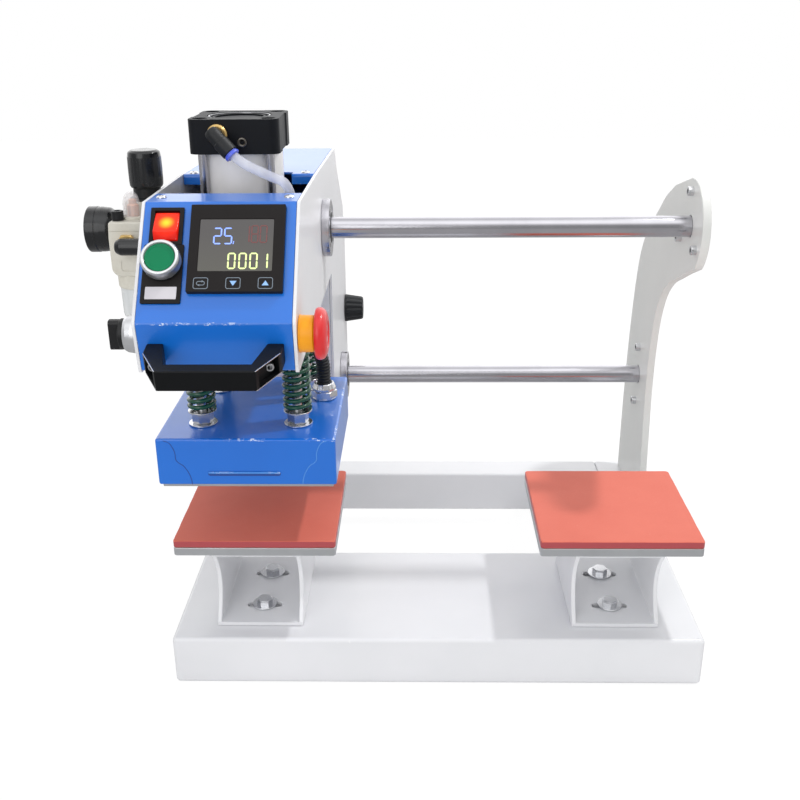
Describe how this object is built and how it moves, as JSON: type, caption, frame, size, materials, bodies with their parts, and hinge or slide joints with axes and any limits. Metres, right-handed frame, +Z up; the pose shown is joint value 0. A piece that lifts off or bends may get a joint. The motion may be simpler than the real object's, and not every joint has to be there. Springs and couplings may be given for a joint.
{
  "type": "dual-station pneumatic heat press",
  "caption": "Bench heat press whose heated head, driven down by an air cylinder, slides on rails between two padded platens.",
  "frame": {"origin": "on the underside of the base, midway between the two platens and level with their middle depth", "axes": "+Z up, +X to the right-hand platen, +Y to the rear rails; -Z is the base underside's normal"},
  "size_m": [0.5567, 0.543, 0.5174],
  "materials": {
    "white_paint": "satin powder coat",
    "blue_paint": "satin powder coat",
    "chrome": "polished",
    "steel": "ground",
    "aluminium": "satin",
    "black_metal": "black anodised",
    "silicone": "matte silicone",
    "black_plastic": "satin",
    "cream_paint": "satin",
    "clear_plastic": "translucent",
    "red_plastic": "gloss",
    "green_plastic": "satin",
    "yellow_plastic": "satin",
    "spring_paint": "gloss"
  },
  "bodies": {
    "frame": {"base_beam": "white_paint", "rear_beam": "white_paint", "left_side_beam": "white_paint", "right_side_beam": "white_paint", "left_arm": "white_paint", "right_arm": "white_paint", "upper_rail": "chrome", "lower_rail": "chrome", "left_bracket": "white_paint", "right_bracket": "white_paint", "left_platen": "aluminium", "right_platen": "aluminium", "left_pad": "silicone", "right_pad": "silicone", "left_front_bolt": "chrome", "left_back_bolt": "chrome", "right_front_bolt": "chrome", "right_back_bolt": "chrome"},
    "carriage": {"left_side_plate": "white_paint", "right_side_plate": "white_paint", "front_cover": "blue_paint", "rear_cover": "blue_paint", "bulkhead": "white_paint", "cylinder_mount_plate": "steel", "cylinder_lower_cap": "black_metal", "cylinder_barrel": "aluminium", "cylinder_top_cap": "black_metal", "upper_left_bearing": "steel", "upper_right_bearing": "steel", "lower_left_bearing": "steel", "lower_right_bearing": "steel", "controller": "black_plastic", "rocker_bezel": "black_plastic", "start_button_bezel": "chrome", "e_stop_base": "yellow_plastic", "selector_base": "chrome", "handle": "black_plastic", "elbow_fitting": "black_plastic", "air_tube": "clear_plastic", "solenoid_valve": "black_plastic", "air_unit_body": "cream_paint", "lubricator_bowl": "clear_plastic", "pressure_gauge": "black_plastic"},
    "press_head": {"piston_rod": "chrome", "pressure_plate": "steel", "heating_plate": "aluminium", "heater_shroud": "blue_paint", "front_left_spring": "spring_paint", "back_left_spring": "spring_paint", "front_right_spring": "spring_paint", "back_right_spring": "spring_paint", "heater_gland": "chrome", "heater_conduit": "black_plastic"},
    "rocker": {"rocker_button": "red_plastic"},
    "start_button": {"start_button_cap": "green_plastic"},
    "e_stop": {"e_stop_head": "red_plastic"},
    "selector": {"selector_handle": "black_plastic"},
    "flow_knob": {"side_knob": "black_plastic"},
    "pressure_knob": {"regulator_knob": "black_plastic"},
    "needle": {"gauge_needle": "red_plastic"}
  },
  "joints": [
    {"name": "carriage_slide", "type": "slide", "parent": "frame", "child": "carriage", "axis": [1, 0, 0], "range_m": [0, 0.338]},
    {"name": "press_slide", "type": "slide", "parent": "carriage", "child": "press_head", "axis": [0, 0, -1], "range_m": [0, 0.058]},
    {"name": "rocker_tilt", "type": "hinge", "parent": "carriage", "child": "rocker", "pos_m": [-0.209, -0.12201, 0.44499], "axis": [1, 0, 0], "range_deg": [0, 16]},
    {"name": "start_button_press", "type": "slide", "parent": "carriage", "child": "start_button", "axis": [0, 0.7799, -0.6259], "range_m": [0, 0.0035], "stiffness_N_per_m": 600},
    {"name": "e_stop_press", "type": "slide", "parent": "carriage", "child": "e_stop", "axis": [-1, 0, 0], "range_m": [0, 0.004]},
    {"name": "selector_turn", "type": "hinge", "parent": "carriage", "child": "selector", "pos_m": [-0.23, -0.155, 0.3715], "axis": [-1, 0, 0], "range_deg": [0, 90]},
    {"name": "flow_knob_turn", "type": "hinge", "parent": "carriage", "child": "flow_knob", "pos_m": [-0.108, 0.304, 0.257], "axis": [1, 0, 0], "range_deg": [0, 270]},
    {"name": "pressure_knob_turn", "type": "hinge", "parent": "carriage", "child": "pressure_knob", "pos_m": [-0.255, 0, 0.4565], "axis": [0, 0, 1], "range_deg": [-360, 360]},
    {"name": "needle_turn", "type": "hinge", "parent": "carriage", "child": "needle", "pos_m": [-0.302, -0.008, 0.421], "axis": [1, 0, 0], "range_deg": [0, 270], "stiffness_Nm_per_rad": 0.0005}
  ]
}
